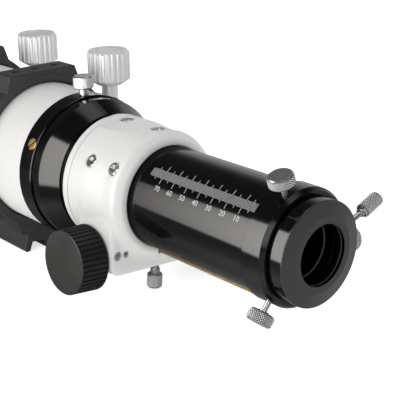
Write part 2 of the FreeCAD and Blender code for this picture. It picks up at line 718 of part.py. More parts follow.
def rotation_lock_screw():
    screw = turn_upright([
        (38.0, 0.0), (38.0, 1.6), (38.4, 2.0), (45.6, 2.0), (45.6, 3.0), (49.4, 3.0),
        (49.4, 5.4), (50.0, 6.0), (56.3, 6.0), (56.9, 5.4), (56.9, 0.0),
    ])
    return moved(screw, x=ROTATION_LOCK_X)


def main_tube():
    return pipe(TUBE_FRONT_X, FLANGE_FRONT_X - TOUCH, TUBE_R, TUBE_BORE_R)


def tube_baffle(x, opening):
    """Pressed disc with a short skirt that grips the tube bore."""
    return turn([
        (x, opening), (x, TUBE_BORE_R - TOUCH), (x + 8.0, TUBE_BORE_R - TOUCH),
        (x + 8.0, TUBE_BORE_R - 1.0), (x + 1.0, TUBE_BORE_R - 1.0), (x + 1.0, opening),
    ])


# ---------------------------------------------------------------- objective
def lens_cell():
    return turn([
        (-507.0, 40.6), (-507.0, TUBE_BORE_R - TOUCH), (TUBE_FRONT_X - TOUCH, TUBE_BORE_R - TOUCH),
        (TUBE_FRONT_X - TOUCH, CELL_R - 0.5), (TUBE_FRONT_X - 0.5, CELL_R),
        (CELL_FRONT_X + 0.6, CELL_R), (CELL_FRONT_X, CELL_R - 0.6),
        (CELL_FRONT_X, LENS_R + 0.9), (CELL_FRONT_X + 1.0, LENS_R + 0.1),
        (-534.1, LENS_R + 0.1), (-534.1, APERTURE_R - 0.2), (-531.0, APERTURE_R - 0.2),
        (-529.0, 40.6),
    ])


def dome(vertex_x, radius_of_curve, towards):
    """Ball whose surface passes through the vertex, centre on the given side along X."""
    return Part.makeSphere(radius_of_curve, Vector(vertex_x + towards * radius_of_curve, 0, 0))


def sag(radius_of_curve):
    return radius_of_curve - math.sqrt(radius_of_curve ** 2 - LENS_R ** 2)

def front_lens():
    """Biconvex crown element."""
    front, back = CROWN_CURVES
    blank = rod(-560, 0, 0, AXIS_X, LENS_R, 40)
    blank = blank.common(dome(CROWN_EDGE[0] - sag(front), front, 1))
    return blank.common(dome(CROWN_EDGE[1] + sag(back), back, -1))


def rear_lens():
    """Meniscus flint element."""
    front, back = FLINT_CURVES
    blank = rod(FLINT_EDGE[0], 0, 0, AXIS_X, LENS_R, 40)
    blank = blank.common(dome(FLINT_EDGE[1] + sag(back), back, -1))
    return blank.cut(dome(FLINT_EDGE[0] + sag(front), front, -1))


def lens_spacer():
    return pipe(CROWN_EDGE[1] + 0.14, FLINT_EDGE[0] - 0.01, LENS_R, LENS_R - 0.6)


def lens_retaining_ring():
    ring = pipe(-549.8, -546.25, LENS_R, APERTURE_R - 0.3)
    slots = [box(-552, -548.8, -1.5, 1.5, s, s + 4) for s in (38.0, -42.0)]
    return ring.cut(slots)


def dew_shield():
    return turn([
        (DEW_SHIELD_X[0], DEW_SHIELD_BORE_R), (DEW_SHIELD_X[0], DEW_SHIELD_R),
        (DEW_SHIELD_X[1], DEW_SHIELD_R), (DEW_SHIELD_X[1], DEW_SHIELD_BORE_R),
    ])


def dew_shield_front_ring():
    front = DEW_SHIELD_X[0]
    return turn([
        (front - 5.0, DEW_SHIELD_BORE_R - 0.8, 0.6), (front - 5.0, DEW_SHIELD_R + 0.9, 1.2),
        (front + 4.0, DEW_SHIELD_R + 0.9, 0.5), (front + 4.0, DEW_SHIELD_R + TOUCH),
        (front - TOUCH, DEW_SHIELD_R + TOUCH), (front - TOUCH, DEW_SHIELD_BORE_R - 0.8),
    ])


def dew_shield_rear_ring():
    x0, x1 = DEW_RING_REAR_X
    ring = turn([
        (x0, CELL_R + 0.3), (x0, DEW_SHIELD_R + 0.4), (x1, DEW_SHIELD_R + 0.4, 0.8),
        (x1, CELL_R + 0.3, 0.4),
    ])
    return ring.cut(radial(rod(0, 0, 44, AXIS_Z, 1.55, 12), DEW_LOCK_X, DEW_LOCK_ANGLE))


def dew_shield_felt():
    return pipe(-549.0, -531.0, DEW_SHIELD_BORE_R - SLIDE, CELL_R + TOUCH)


def dew_shield_lock_screw():
    screw = thumbscrew(47.0, 56.0, 61.5, 1.5, 5.5, 2.6, 1.2)
    return radial(screw, DEW_LOCK_X, DEW_LOCK_ANGLE)


# ---------------------------------------------------------------- tube rings
def ring_block(sign):
    """Flat-topped block on the ring, above it for +1 and below it for -1."""
    outer, base = RING_BLOCK_HALF
    flat = sign * RING_BLOCK_Z
    root = sign * 40.0
    base_half = base + (base - outer) * (44.5 - 40.0) / (RING_BLOCK_Z - 44.5)
    half_x = RING_WIDTH / 2 - 0.5
    block = prism_x([(-outer, flat), (outer, flat), (base_half, root), (-base_half, root)],
                    -half_x, half_x)
    rim = [e for e in block.Edges if abs(e.Vertexes[0].Z - flat) < 1e-6
           and abs(e.Vertexes[-1].Z - flat) < 1e-6]
    return block.makeChamfer(0.6, rim)


def ring_half(sign):
    """One half of a tube ring centred on X = 0: upper half for +1, lower half for -1."""
    half = RING_WIDTH / 2
    hoop = turn([
        (-half, RING_BORE_R), (-half, RING_R, 0.8), (half, RING_R, 0.8), (half, RING_BORE_R),
    ])
    bore = rod(-half - 1, 0, 0, AXIS_X, RING_BORE_R, RING_WIDTH + 2)
    z0, z1 = sorted((sign * 0.12, sign * abs(LUG_Z[1] if sign > 0 else LUG_Z[0])))
    lug = box(-half + 1, half - 1, 40.0, CLAMP_Y + 8.0, z0, z1)
    corner = [e for e in lug.Edges if min(v.Y for v in e.Vertexes) > CLAMP_Y
              and abs(e.Vertexes[0].X - e.Vertexes[-1].X) < 1e-6]
    lug = lug.makeFillet(3.0, corner)
    solid = hoop.fuse([ring_block(sign), lug]).cut(bore)
    keep = box(-60, 60, -80, 80, 0.12, 80) if sign > 0 else box(-60, 60, -80, 80, -80, -0.12)
    solid = solid.common(keep)

    # hinge knuckles: one in the middle on the upper half, two outer ones on the lower half
    spans = [(-3.5, 3.5)] if sign > 0 else [(-half + 0.5, -3.7), (3.7, half - 0.5)]
    for x0, x1 in spans:
        knuckle = rod(x0, HINGE_Y, 0, AXIS_X, HINGE_KNUCKLE_R, x1 - x0)
        arm_z = sorted((sign * 0.12, sign * HINGE_KNUCKLE_R))
        arm = box(x0, x1, HINGE_Y, -47.5, *arm_z)
        solid = solid.fuse([knuckle, arm.cut(bore)])
    cuts = [rod(-half - 1, HINGE_Y, 0, AXIS_X, HINGE_PIN_R + 0.03, RING_WIDTH + 2)]
    cuts.append(rod(0, CLAMP_Y, -20, AXIS_Z, 3.2 if sign > 0 else 3.75, 40))
    if sign > 0:
        for i in (-1, 0, 1):
            y = i * BLOCK_HOLE_SPACING
            cuts.append(rod(0, y, RING_BLOCK_Z - 5.0, AXIS_Z, BLOCK_HOLE_R, 8))
    else:
        cuts.append(rod(0, 0, -60, AXIS_Z, 3.0, 20))
    return solid.cut(cuts).removeSplitter()


def ring_felt(sign):
    half = RING_WIDTH / 2 - 1.0
    felt = pipe(-half, half, RING_BORE_R - TOUCH, TUBE_R + 0.12)
    keep = box(-60, 60, -80, 80, 0.3, 80) if sign > 0 else box(-60, 60, -80, 80, -80, -0.3)
    return felt.common(keep)


def hinge_pins():
    pin = rod(-RING_WIDTH / 2 + 0.3, HINGE_Y, 0, AXIS_X, HINGE_PIN_R, RING_WIDTH - 0.6)
    return [moved(pin, x=x) for x in RING_X.values()]


def clamp_knob():
    """Fluted knob with a dished top, cone and neck, built about X = 0, Y = 0."""
    cone_z, flute_z, top_z = CLAMP_KNOB_Z
    knob = turn_upright([
        (LUG_Z[1] + 0.05, 3.0 + TOUCH), (LUG_Z[1] + 0.05, 5.2), (LUG_Z[1] + 0.35, 5.5),
        (cone_z, 5.5), (cone_z + 0.5, 8.6), (flute_z, CLAMP_KNOB_R - 0.6),
        (flute_z + 0.6, CLAMP_KNOB_R), (top_z - 1.6, CLAMP_KNOB_R), (top_z, CLAMP_KNOB_R - 1.6),
        (top_z, 10.6), (top_z - 1.0, 9.6), (top_z - 1.0, 0.0), (40.1, 0.0), (40.1, 3.0 + TOUCH),
    ])
    flute = rod(CLAMP_KNOB_R + 0.55, 0, flute_z - 4, AXIS_Z, 1.35, top_z - flute_z + 8)
    return knob.cut(around(flute, CLAMP_FLUTES, AXIS_Z))


def clamp_stud():
    return turn_upright([
        (-8.0, 0.0), (-8.0, 2.4), (-7.4, 3.0), (39.5, 3.0), (40.0, 2.5), (40.0, 0.0),
    ])


def dovetail_bar():
    """Small-pattern 44 mm dovetail bar, hollowed underneath on both sides of a centre rib."""
    top, bottom = BAR_HALF
    section = [
        (-top, BAR_TOP_Z), (top, BAR_TOP_Z), (bottom, BAR_BOTTOM_Z + 0.8),
        (bottom - 0.8, BAR_BOTTOM_Z), (18.5, BAR_BOTTOM_Z), (16.2, -60.0), (7.6, -60.8),
        (6.6, BAR_BOTTOM_Z), (-6.6, BAR_BOTTOM_Z), (-7.6, -60.8), (-16.2, -60.0),
        (-18.5, BAR_BOTTOM_Z), (0.8 - bottom, BAR_BOTTOM_Z), (-bottom, BAR_BOTTOM_Z + 0.8),
    ]
    bar = prism_x(section, *BAR_X)
    cuts = []
    for x in RING_X.values():
        cuts.append(rod(x, 0, -70, AXIS_Z, 3.2, 20))
        cuts.append(rod(x, 0, -70, AXIS_Z, 5.3, 10.0))
    cuts.append(rod(TRIPOD_X, 0, -70, AXIS_Z, 2.55, 20))
    return bar.cut(cuts)


def bar_screws():
    screw = cap_screw(0.0, 12.4, 17.4, 3.0 - TOUCH, 5.1, 5.0)
    screw.rotate(ORIGIN, AXIS_X, 180)
    return [moved(screw, x, 0, -60.0 - TOUCH + 12.4) for x in RING_X.values()]


# ---------------------------------------------------------------- write the nodes
def main():
    save("eyepiece_adapter", eyepiece_adapter())
    save("adapter_compression_ring",
         split_ring(-6.8, -2.4, EYEPIECE_BORE_R + 1.4, EYEPIECE_BORE_R, 110.0))
    adapter_screw = thumbscrew(17.4, 36.0, 49.2, 1.5, 3.45, 2.2, 1.5)
    save("adapter_screw", radial(adapter_screw, ADAPTER_SCREW_X, ADAPTER_SCREW_ANGLE))
    save("drawtube_collar", drawtube_collar())
    save("collar_compression_ring",
         split_ring(-17.9, -14.3, COLLAR_BORE_R + 1.8, COLLAR_BORE_R + 0.03, 80.0))
    collar_screw = thumbscrew(27.4, 36.9, 42.9, 1.5, 6.15, 2.6, 0.8)
    for place, angle in COLLAR_SCREW_ANGLES.items():
        save("collar_screw_" + place, radial(collar_screw, COLLAR_SCREW_X, angle))
    save("drawtube", turned(drawtube()))
    save("gear_rack", turned(gear_rack()))
    save("rack_screws", [turned(s) for s in rack_screws()])

    save("focuser_body", focuser_body())
    save("guide_strips", guide_strips())
    save("guide_strip_screws", strip_screws())
    save("finder_shoe_screws", shoe_screws())
    save("pinion_block_screws", block_screws())
    save("pinion_cover_plate", pinion_plate())
    save("cover_plate_screws", plate_screws())
    save("pinion_gear", pinion_gear())
    save("pinion_shaft", pinion_shaft())
    save("pinion_bushes", pinion_bushes())
    save("focus_knob_left", focus_knob_left())
    save("focus_knob_right", focus_knob_right())
    save("reduction_housing", reduction_housing())
    save("reduction_balls", reduction_balls())
    save("ball_carrier", ball_carrier())
    save("fine_focus_shaft", fine_focus_shaft())
    save("fine_focus_knob", fine_focus_knob())
    save("focus_lock_screw", focus_lock_screw())
    save("brake_pad", brake_pad())

    save("rotator_ring", rotator_ring())
    save("tube_rear_flange", tube_rear_flange())
    save("flange_screws", flange_screws())
    save("rotation_lock_screw", rotation_lock_screw())
    save("main_tube", main_tube())
    save("tube_baffles", [tube_baffle(-290.0, 30.0), tube_baffle(-420.0, 35.5)])

    save("lens_cell", lens_cell())
    save("objective_front_lens", front_lens())
    save("objective_rear_lens", rear_lens())
    save("lens_spacer", lens_spacer())
    save("lens_retaining_ring", lens_retaining_ring())
    save("dew_shield", dew_shield())
    save("dew_shield_front_ring", dew_shield_front_ring())
    save("dew_shield_rear_ring", dew_shield_rear_ring())
    save("dew_shield_felt", dew_shield_felt())
    save("dew_shield_lock_screw", dew_shield_lock_screw())

    for place, x in RING_X.items():
        save(place + "_ring_lower", moved(ring_half(-1), x=x))
        save(place + "_ring_upper", moved(ring_half(1), x=x))
        save(place + "_ring_upper_felt", moved(ring_felt(1), x=x))
        save(place + "_clamp_knob", moved(clamp_knob(), x, CLAMP_Y))
        save(place + "_clamp_stud", moved(clamp_stud(), x, CLAMP_Y))
    save("ring_lower_felts", [moved(ring_felt(-1), x=x) for x in RING_X.values()])
    save("ring_hinge_pins", hinge_pins())
    save("dovetail_bar", dovetail_bar())
    save("bar_screws", bar_screws())


main()
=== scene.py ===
"""Looks of the refractor telescope: finishes, engraved scale, knurling, felt, light and camera.

Metres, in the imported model's frame: +X runs along the optical axis towards the eyepiece, +Z is up.
"""

import json
import math

import bmesh
import bpy
from mathutils import Matrix, Vector, noise


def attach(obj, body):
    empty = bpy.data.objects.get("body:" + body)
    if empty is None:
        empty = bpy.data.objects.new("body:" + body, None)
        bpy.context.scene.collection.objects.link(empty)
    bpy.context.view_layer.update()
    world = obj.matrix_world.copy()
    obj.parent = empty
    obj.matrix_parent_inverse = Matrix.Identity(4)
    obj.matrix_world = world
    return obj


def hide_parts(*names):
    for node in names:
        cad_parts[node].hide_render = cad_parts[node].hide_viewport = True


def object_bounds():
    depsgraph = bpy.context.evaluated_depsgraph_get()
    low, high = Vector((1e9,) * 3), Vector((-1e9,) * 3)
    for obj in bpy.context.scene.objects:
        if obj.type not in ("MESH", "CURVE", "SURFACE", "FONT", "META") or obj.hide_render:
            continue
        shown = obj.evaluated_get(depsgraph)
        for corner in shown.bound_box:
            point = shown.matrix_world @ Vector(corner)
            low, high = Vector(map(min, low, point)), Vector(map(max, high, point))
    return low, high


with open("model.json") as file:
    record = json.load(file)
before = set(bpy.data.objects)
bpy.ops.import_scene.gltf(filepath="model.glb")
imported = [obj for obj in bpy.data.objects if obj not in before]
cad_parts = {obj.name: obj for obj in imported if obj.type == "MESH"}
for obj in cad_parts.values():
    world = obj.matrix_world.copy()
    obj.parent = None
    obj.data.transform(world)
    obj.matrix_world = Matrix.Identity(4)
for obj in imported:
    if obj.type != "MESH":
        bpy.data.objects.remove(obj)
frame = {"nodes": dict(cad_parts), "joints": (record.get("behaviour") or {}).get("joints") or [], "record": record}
CAD_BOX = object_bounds()
NODES = frame["nodes"]
MM = 0.001

# the drawtube's scale: millimetres, and degrees round the tube from +Z towards -Y
SCALE_ZERO_X = -25.0
SCALE_R = 29.27                 # just proud of the drawtube
BAND_ANGLES = (35.8, 45.4)      # the lined band, between the two rows of marks
BAND_INSET = 0.4                # the band's own edge lies this far inside them
BAND_X = (SCALE_ZERO_X - 79.7, SCALE_ZERO_X + 0.9)
BAND_LINES = ((14.3, 3.4, 0.31), (0.0, 1.0, 0.06))      # lean, pitch and width of each set
BAND_SIDE_WIDTH, BAND_END_WIDTH = 0.10, 0.16
SHORTEST_LINE = 0.02            # shorter shares of a line, at the band's ends, are left out
MARK_COUNT, MARK_PITCH, MARK_WIDTH = 15, 5.0, 0.29
LONG_MARK = (29.1, 51.9)        # where the marks of the tens end, on each side of the band
SHORT_MARK = (32.7, 47.9)
NUMBER_ANGLE = 59.5             # foot of the numbers
NUMBER_HEIGHT, NUMBER_STRETCH = 2.8, 1.03
NUMBER_WEIGHT = 0.008           # thickens the strokes, as a share of the letter size
NUMBER_SLICES = 10              # a glyph is cut across so often, so that it can bend
STRIP_STEPS = 6
ARC = math.radians(1.0) * SCALE_R       # length of one degree round the scale


# ---------------------------------------------------------------- node trees
class Graph:
    """The nodes of a new material, or of a given world, and short ways to add to them."""

    def __init__(self, name, world=None):
        self.owner = world or bpy.data.materials.new(name)
        self.owner.use_nodes = True
        self.tree = self.owner.node_tree
        self.tree.nodes.clear()
        self.coordinates = self.node("ShaderNodeTexCoord").outputs
        self.place = self.coordinates["Object"]

    def node(self, kind, inputs=None, **settings):
        made = self.tree.nodes.new(kind)
        for name, value in settings.items():
            setattr(made, name, value)
        for name, value in (inputs or {}).items():
            self.put(made.inputs[name], value)
        return made

    def put(self, socket, value):
        if isinstance(value, bpy.types.NodeSocket):
            self.tree.links.new(value, socket)
        else:
            socket.default_value = value

    def calc(self, operation, *values):
        made = self.node("ShaderNodeMath", operation=operation)
        for i, value in enumerate(values):
            self.put(made.inputs[i], value)
        return made.outputs[0]

    def vector(self, operation, a, b=None, scale=None):
        made = self.node("ShaderNodeVectorMath", operation=operation)
        self.put(made.inputs[0], a)
        if b is not None:
            self.put(made.inputs[1], b)
        if scale is not None:
            self.put(made.inputs["Scale"], scale)
        return made.outputs["Value" if operation in ("LENGTH", "DOT_PRODUCT") else "Vector"]

    def noise(self, scale, detail=2.0, stretch=None):
        where = self.place
        if stretch is not None:
            where = self.vector("MULTIPLY", where, stretch)
        return self.node("ShaderNodeTexNoise",
                         {"Vector": where, "Scale": scale, "Detail": detail}).outputs[0]

    def turning_marks(self, radius, along, pitch):
        """Fine uneven rings round an axis; a larger pitch sets them closer."""
        step = self.calc("MULTIPLY", self.calc("ADD", radius, along), pitch)
        return self.node("ShaderNodeTexNoise", {"W": step, "Scale": 1.0, "Detail": 2.0},
                         noise_dimensions="1D").outputs[0]

    def span(self, value, low, high, to_low=0.0, to_high=1.0, smooth=False):
        made = self.node("ShaderNodeMapRange", {
            "Value": value, "From Min": low, "From Max": high, "To Min": to_low,
            "To Max": to_high}, interpolation_type="SMOOTHSTEP" if smooth else "LINEAR")
        return made.outputs[0]

    def blend(self, share, a, b):
        made = self.node("ShaderNodeMix", data_type="RGBA")
        self.put(made.inputs[0], share)
        self.put(made.inputs[6], a)
        self.put(made.inputs[7], b)
        return made.outputs[2]

    def bump(self, height, strength, distance, normal=None):
        inputs = {"Height": height, "Strength": strength, "Distance": distance}
        if normal is not None:
            inputs["Normal"] = normal
        return self.node("ShaderNodeBump", inputs).outputs[0]

    def rounded(self, radius, samples=4):
        return self.node("ShaderNodeBevel", {"Radius": radius}, samples=samples).outputs[0]

    def about(self, point, axis):
        """(distance from an axis, distance along it) in metres."""
        axis = Vector(axis).normalized()
        rel = self.vector("SUBTRACT", self.place, tuple(point))
        along = self.vector("DOT_PRODUCT", rel, tuple(axis))
        on_axis = self.vector("SCALE", tuple(axis), scale=along)
        return self.vector("LENGTH", self.vector("SUBTRACT", rel, on_axis)), along

    def surface(self, **inputs):
        """The material as one Principled surface; an input's name has _ for each space."""
        shader = self.node("ShaderNodeBsdfPrincipled", {
            k.replace("_", " "): v for k, v in inputs.items()})
        return self.finished(shader)

    def mixed(self, share, first, second):
        made = self.node("ShaderNodeMixShader", {0: share})
        self.tree.links.new(first.outputs[0], made.inputs[1])
        self.tree.links.new(second.outputs[0], made.inputs[2])
        return made

    def finished(self, shader, kind="Material"):
        """The material or world, with the shader on its output."""
        out = self.node("ShaderNodeOutput" + kind)
        self.tree.links.new(shader.outputs[0], out.inputs[0])
        return self.owner


def rgb(r, g=None, b=None):
    g = r if g is None else g
    return (r, g, r if b is None else b, 1.0)


# ---------------------------------------------------------------- finishes
OPTICAL_AXIS = ((0.0, 0.0, 0.0), (1.0, 0.0, 0.0))
STEEL_TONE = (0.80, 0.80, 0.81)
BRASS_TONE = (0.66, 0.43, 0.17)
MIRRORED_WHITE = 0.85       # tone of the white paint in reflections
BORE_MARGIN = 0.0002        # paint starts this far outside a tube's bore


def white_paint(name, edge_radius, mirrored=1.0, bore=0.0):
    """Warm white stoved paint: faint orange peel, slightly uneven gloss, softened edges.

    Reflections see it dimmed to the share `mirrored`. A tube is flat black inside its bore's radius.
    """
    g = Graph(name)
    cloud = g.noise(22.0, 3.0)
    colour = g.blend(cloud, rgb(0.845, 0.842, 0.822), rgb(0.87, 0.868, 0.85))
    in_mirror = g.node("ShaderNodeLightPath").outputs["Is Glossy Ray"]
    colour = g.blend(in_mirror, colour, rgb(MIRRORED_WHITE * mirrored))
    peel = g.bump(g.noise(900.0, 2.0), 0.10, 0.00006, g.rounded(edge_radius, 8))
    gloss = g.span(g.noise(60.0), 0.3, 0.7, 0.26, 0.34)
    coat = 0.06
    if bore:
        radius, _ = g.about(*OPTICAL_AXIS)
        outside = g.calc("GREATER_THAN", radius, bore + BORE_MARGIN)
        colour = g.blend(outside, g.blend(cloud, rgb(0.004), rgb(0.008)), colour)
        gloss = g.span(outside, 0.0, 1.0, 0.85, gloss)
        coat = g.calc("MULTIPLY", outside, coat)
    return g.surface(Base_Color=colour, Roughness=gloss, Normal=peel,
                     Specular_IOR_Level=0.30, Coat_Weight=coat, Coat_Roughness=0.12)


def black_gloss(name, tone=0.0022, rough=0.10):
    """Gloss black anodising over fine turning marks."""
    g = Graph(name)
    radius, along = g.about(*OPTICAL_AXIS)
    marks = g.turning_marks(radius, along, 5200.0)
    cloud = g.noise(35.0, 3.0)
    normal = g.bump(marks, 0.035, 0.00003, g.rounded(0.00030))
    colour = g.blend(cloud, rgb(tone), rgb(tone * 1.7, tone * 1.6, tone * 1.5))
    return g.surface(Base_Color=colour, Normal=normal, Specular_IOR_Level=0.5,
                     Roughness=g.span(cloud, 0.3, 0.7, rough * 0.85, rough * 1.2))


ADAPTER_FACE_X = (-0.0026, -0.0020)     # the satin of the rear face fades in over this stretch
ADAPTER_FACE_R = 0.0160                 # and covers everything outside this radius
ADAPTER_CONE_R = (0.0195, 0.0200)       # the cone's sheen fades in between these radii
CONE_SHEEN_SIDE = (0.0, 0.88, -0.47)    # towards the far side, low down
BORE_LINES = (                          # depth, half width, end of its soft edge, strength
    (0.0131, 0.0003, 0.0007, 0.55),
    (0.0021, 0.0001, 0.0003, 0.60),
)
BORE_LINES_R = 0.0163                   # the lines stay inside this radius


def adapter_black(name):
    """Gloss anodising on the rim and in the bore, satin on the rear face and its cone.

    The sheen on the cone and the two light lines in the bore are painted on.
    """
    g = Graph(name)
    radius, along = g.about(*OPTICAL_AXIS)
    cloud = g.noise(35.0, 3.0)
    marks = g.turning_marks(radius, along, 4200.0)
    face = g.calc("MULTIPLY", g.span(along, *ADAPTER_FACE_X),
                  g.calc("GREATER_THAN", radius, ADAPTER_FACE_R))
    outward = g.vector("NORMALIZE", g.vector("MULTIPLY", g.place, (0.0, 1.0, 1.0)))
    towards = g.vector("DOT_PRODUCT", outward, CONE_SHEEN_SIDE)
    sheen = g.calc("MULTIPLY", g.span(radius, *ADAPTER_CONE_R),
                   g.span(towards, -0.1, 0.9, 0.0, 0.45, smooth=True))
    satin = g.blend(cloud, rgb(0.030, 0.0295, 0.0285), rgb(0.040))
    satin = g.blend(sheen, satin, rgb(0.105, 0.104, 0.101))
    lines = 0.0
    for depth, half_width, end, strength in BORE_LINES:
        off = g.calc("ABSOLUTE", g.calc("ADD", along, depth))
        lines = g.calc("MAXIMUM", lines, g.span(off, half_width, end, strength, 0.0))
    lines = g.calc("MULTIPLY", lines, g.calc("LESS_THAN", radius, BORE_LINES_R))
    gloss = g.blend(lines, rgb(0.0025), rgb(0.34))
    return g.surface(Base_Color=g.blend(face, gloss, satin),
                     Roughness=g.span(face, 0.0, 1.0, 0.10, 0.34),
                     Normal=g.bump(marks, g.span(face, 0.0, 1.0, 0.03, 0.12), 0.00003,
                                   g.rounded(0.00030)))


def black_satin(name, tone=0.029, rough=0.42):
    """Satin black anodising over a fine blasted grain."""
    g = Graph(name)
    fine = g.noise(2600.0)
    cloud = g.noise(30.0, 3.0)
    normal = g.bump(fine, 0.16, 0.00005, g.rounded(0.00040))
    colour = g.blend(cloud, rgb(tone), rgb(tone * 1.35, tone * 1.32, tone * 1.28))
    return g.surface(Base_Color=colour, Normal=normal,
                     Roughness=g.span(cloud, 0.3, 0.7, rough * 0.92, rough * 1.08))


def moulded_black(name):
    """Soft-touch black knob with a pebbled skin."""
    g = Graph(name)
    pebble = g.node("ShaderNodeTexVoronoi", {"Vector": g.place, "Scale": 1700.0}).outputs[0]
    cloud = g.noise(45.0, 3.0)
    normal = g.bump(pebble, 0.22, 0.00006, g.rounded(0.00035))
    colour = g.blend(cloud, rgb(0.009), rgb(0.014, 0.0135, 0.013))
    return g.surface(Base_Color=colour, Roughness=g.span(cloud, 0.3, 0.7, 0.46, 0.56),
                     Normal=normal)


def metal(name, colour, rough, point=None, axis=None, marks=0.05, pitch=6000.0, stain=0.12,
          metallic=1.0):
    """Bare or plated metal with turning marks about an axis, or a fine grain without one."""
    g = Graph(name)
    if point is None:
        lines = g.noise(1500.0, 3.0)
    else:
        lines = g.turning_marks(*g.about(point, axis), pitch)
    cloud = g.noise(160.0, 3.0)
    dull = rgb(*(c * (1.0 - stain) for c in colour))
    return g.surface(Base_Color=g.blend(cloud, rgb(*colour), dull),
                     Metallic=metallic,
                     Roughness=g.span(lines, 0.25, 0.75, rough * 0.75, rough * 1.3),
                     Normal=g.bump(lines, marks, 0.00004, g.rounded(0.0002)))


def slotted_brass(name, shaded_to, unshaded_from):
    """Turned brass with painted shade below the first distance from the optical axis: the slot's bottom."""
    g = Graph(name)
    out, _ = g.about(*OPTICAL_AXIS)
    lines = g.noise(1500.0, 3.0)
    top = g.span(out, shaded_to, unshaded_from)
    colour = g.blend(g.noise(160.0, 3.0), rgb(*BRASS_TONE), rgb(0.60, 0.38, 0.15))
    # painted shade at the slot's bottom: near black and less metallic
    return g.surface(Base_Color=g.blend(top, rgb(0.02, 0.016, 0.01), colour),
                     Metallic=g.span(top, 0.0, 1.0, 0.2, 0.95),
                     Roughness=g.span(lines, 0.25, 0.75, 0.26, 0.40),
                     Normal=g.bump(lines, 0.05, 0.00004, g.rounded(0.0001)))


KNURL_SHADE, KNURL_HIGHLIGHT = 0.12, 0.62     # shares of the depth: painted shade in the grooves below, painted highlight on the points above


def knurled_steel(name, point, axis, radius, depth, groove):
    """Bright plating with a painted highlight on the points and painted shade in the grooves."""
    g = Graph(name)
    out, _ = g.about(point, axis)
    height = g.span(out, radius + KNURL_SHADE * depth, radius + KNURL_HIGHLIGHT * depth)
    # painted highlight on the points, painted shade in the grooves
    colour = g.blend(height, rgb(groove), rgb(0.95, 0.95, 0.955))
    return g.surface(Base_Color=colour, Metallic=g.span(height, 0.0, 1.0, 0.9, 0.5),
                     Roughness=g.span(g.noise(900.0), 0.3, 0.7, 0.16, 0.26),
                     Normal=g.rounded(0.00006))


def felt(name):
    """Black wool felt: matted fibres with a soft sheen."""
    g = Graph(name)
    fibres = g.noise(2600.0, 6.0, stretch=(1.0, 0.35, 0.6))
    clumps = g.noise(420.0, 3.0)
    colour = g.blend(g.span(fibres, 0.35, 0.7), rgb(0.006), rgb(0.030, 0.029, 0.028))
    height = g.calc("ADD", g.calc("MULTIPLY", fibres, 0.6), clumps)
    return g.surface(Base_Color=colour, Roughness=0.95, Sheen_Weight=0.35,
                     Normal=g.bump(height, 0.8, 0.00025))


def flat_black(name):
    """Flat optical black, slightly chalky."""
    g = Graph(name)
    grain = g.noise(3000.0, 3.0)
    return g.surface(Base_Color=g.blend(grain, rgb(0.003), rgb(0.007)), Roughness=0.85,
                     Normal=g.bump(grain, 0.2, 0.00005))


def polymer(name):
    """Cream low-friction polymer."""
    g = Graph(name)
    cloud = g.noise(200.0, 3.0)
    return g.surface(Base_Color=g.blend(cloud, rgb(0.62, 0.59, 0.50), rgb(0.70, 0.67, 0.58)),
                     Roughness=g.span(cloud, 0.3, 0.7, 0.38, 0.48),
                     Normal=g.bump(g.noise(1800.0), 0.1, 0.00004, g.rounded(0.0003)))


def glass(name, index, coat):
    """Optical glass with a thin green-violet coating."""
    g = Graph(name)
    dust = g.noise(140.0, 4.0)
    return g.surface(Base_Color=rgb(*coat), Roughness=g.span(dust, 0.6, 0.9, 0.0, 0.02),
                     IOR=index, Transmission_Weight=1.0, Thin_Film_Thickness=118.0,
                     Thin_Film_IOR=1.38)


def engraving(name):
    """White of the scale's marks, finely frosted."""
    g = Graph(name)
    frost = g.noise(6000.0, 2.0)
    return g.surface(Base_Color=g.blend(frost, rgb(0.50, 0.50, 0.49), rgb(0.66, 0.66, 0.645)),
                     Roughness=0.6, Normal=g.bump(frost, 0.3, 0.00002))


SLOT_FINISH = {     # the usual finish of each material slot
    "black_gloss": black_gloss("gloss_anodised"),
    "black_satin": black_satin("satin_anodised"),
    "bright_steel": metal("plated_steel", STEEL_TONE, 0.16),
    "steel": metal("plain_steel", (0.55, 0.55, 0.56), 0.30),
    "brass": metal("turned_brass", BRASS_TONE, 0.30),
    "bronze": metal("sintered_bronze", (0.50, 0.34, 0.18), 0.42),
    "felt": felt("wool_felt"),
    "polymer": polymer("slide_polymer"),
    "matt_black": flat_black("optical_black"),
    "crown_glass": glass("crown_glass_coated", 1.52, (0.96, 0.99, 0.97)),
    "flint_glass": glass("flint_glass_coated", 1.62, (0.95, 0.97, 0.99)),
    "black_knob": moulded_black("moulded_knob"),
}


# point and direction of each hinge, by the body that turns on it
AXES = {j["child"]: (Vector(j["pos_m"]), Vector(j["axis"]).normalized())
        for j in frame["joints"] if j["type"] == "hinge"}
SCREWS = {          # body of each knurled screw, and its node
    "focus_lock": "focus_lock_screw", "rotation_lock": "rotation_lock_screw",
    "adapter_lock": "adapter_screw", "collar_lock_upper": "collar_screw_upper",
    "collar_lock_lower": "collar_screw_lower", "collar_lock_far": "collar_screw_far",
    "dew_shield_lock": "dew_shield_lock_screw",
}

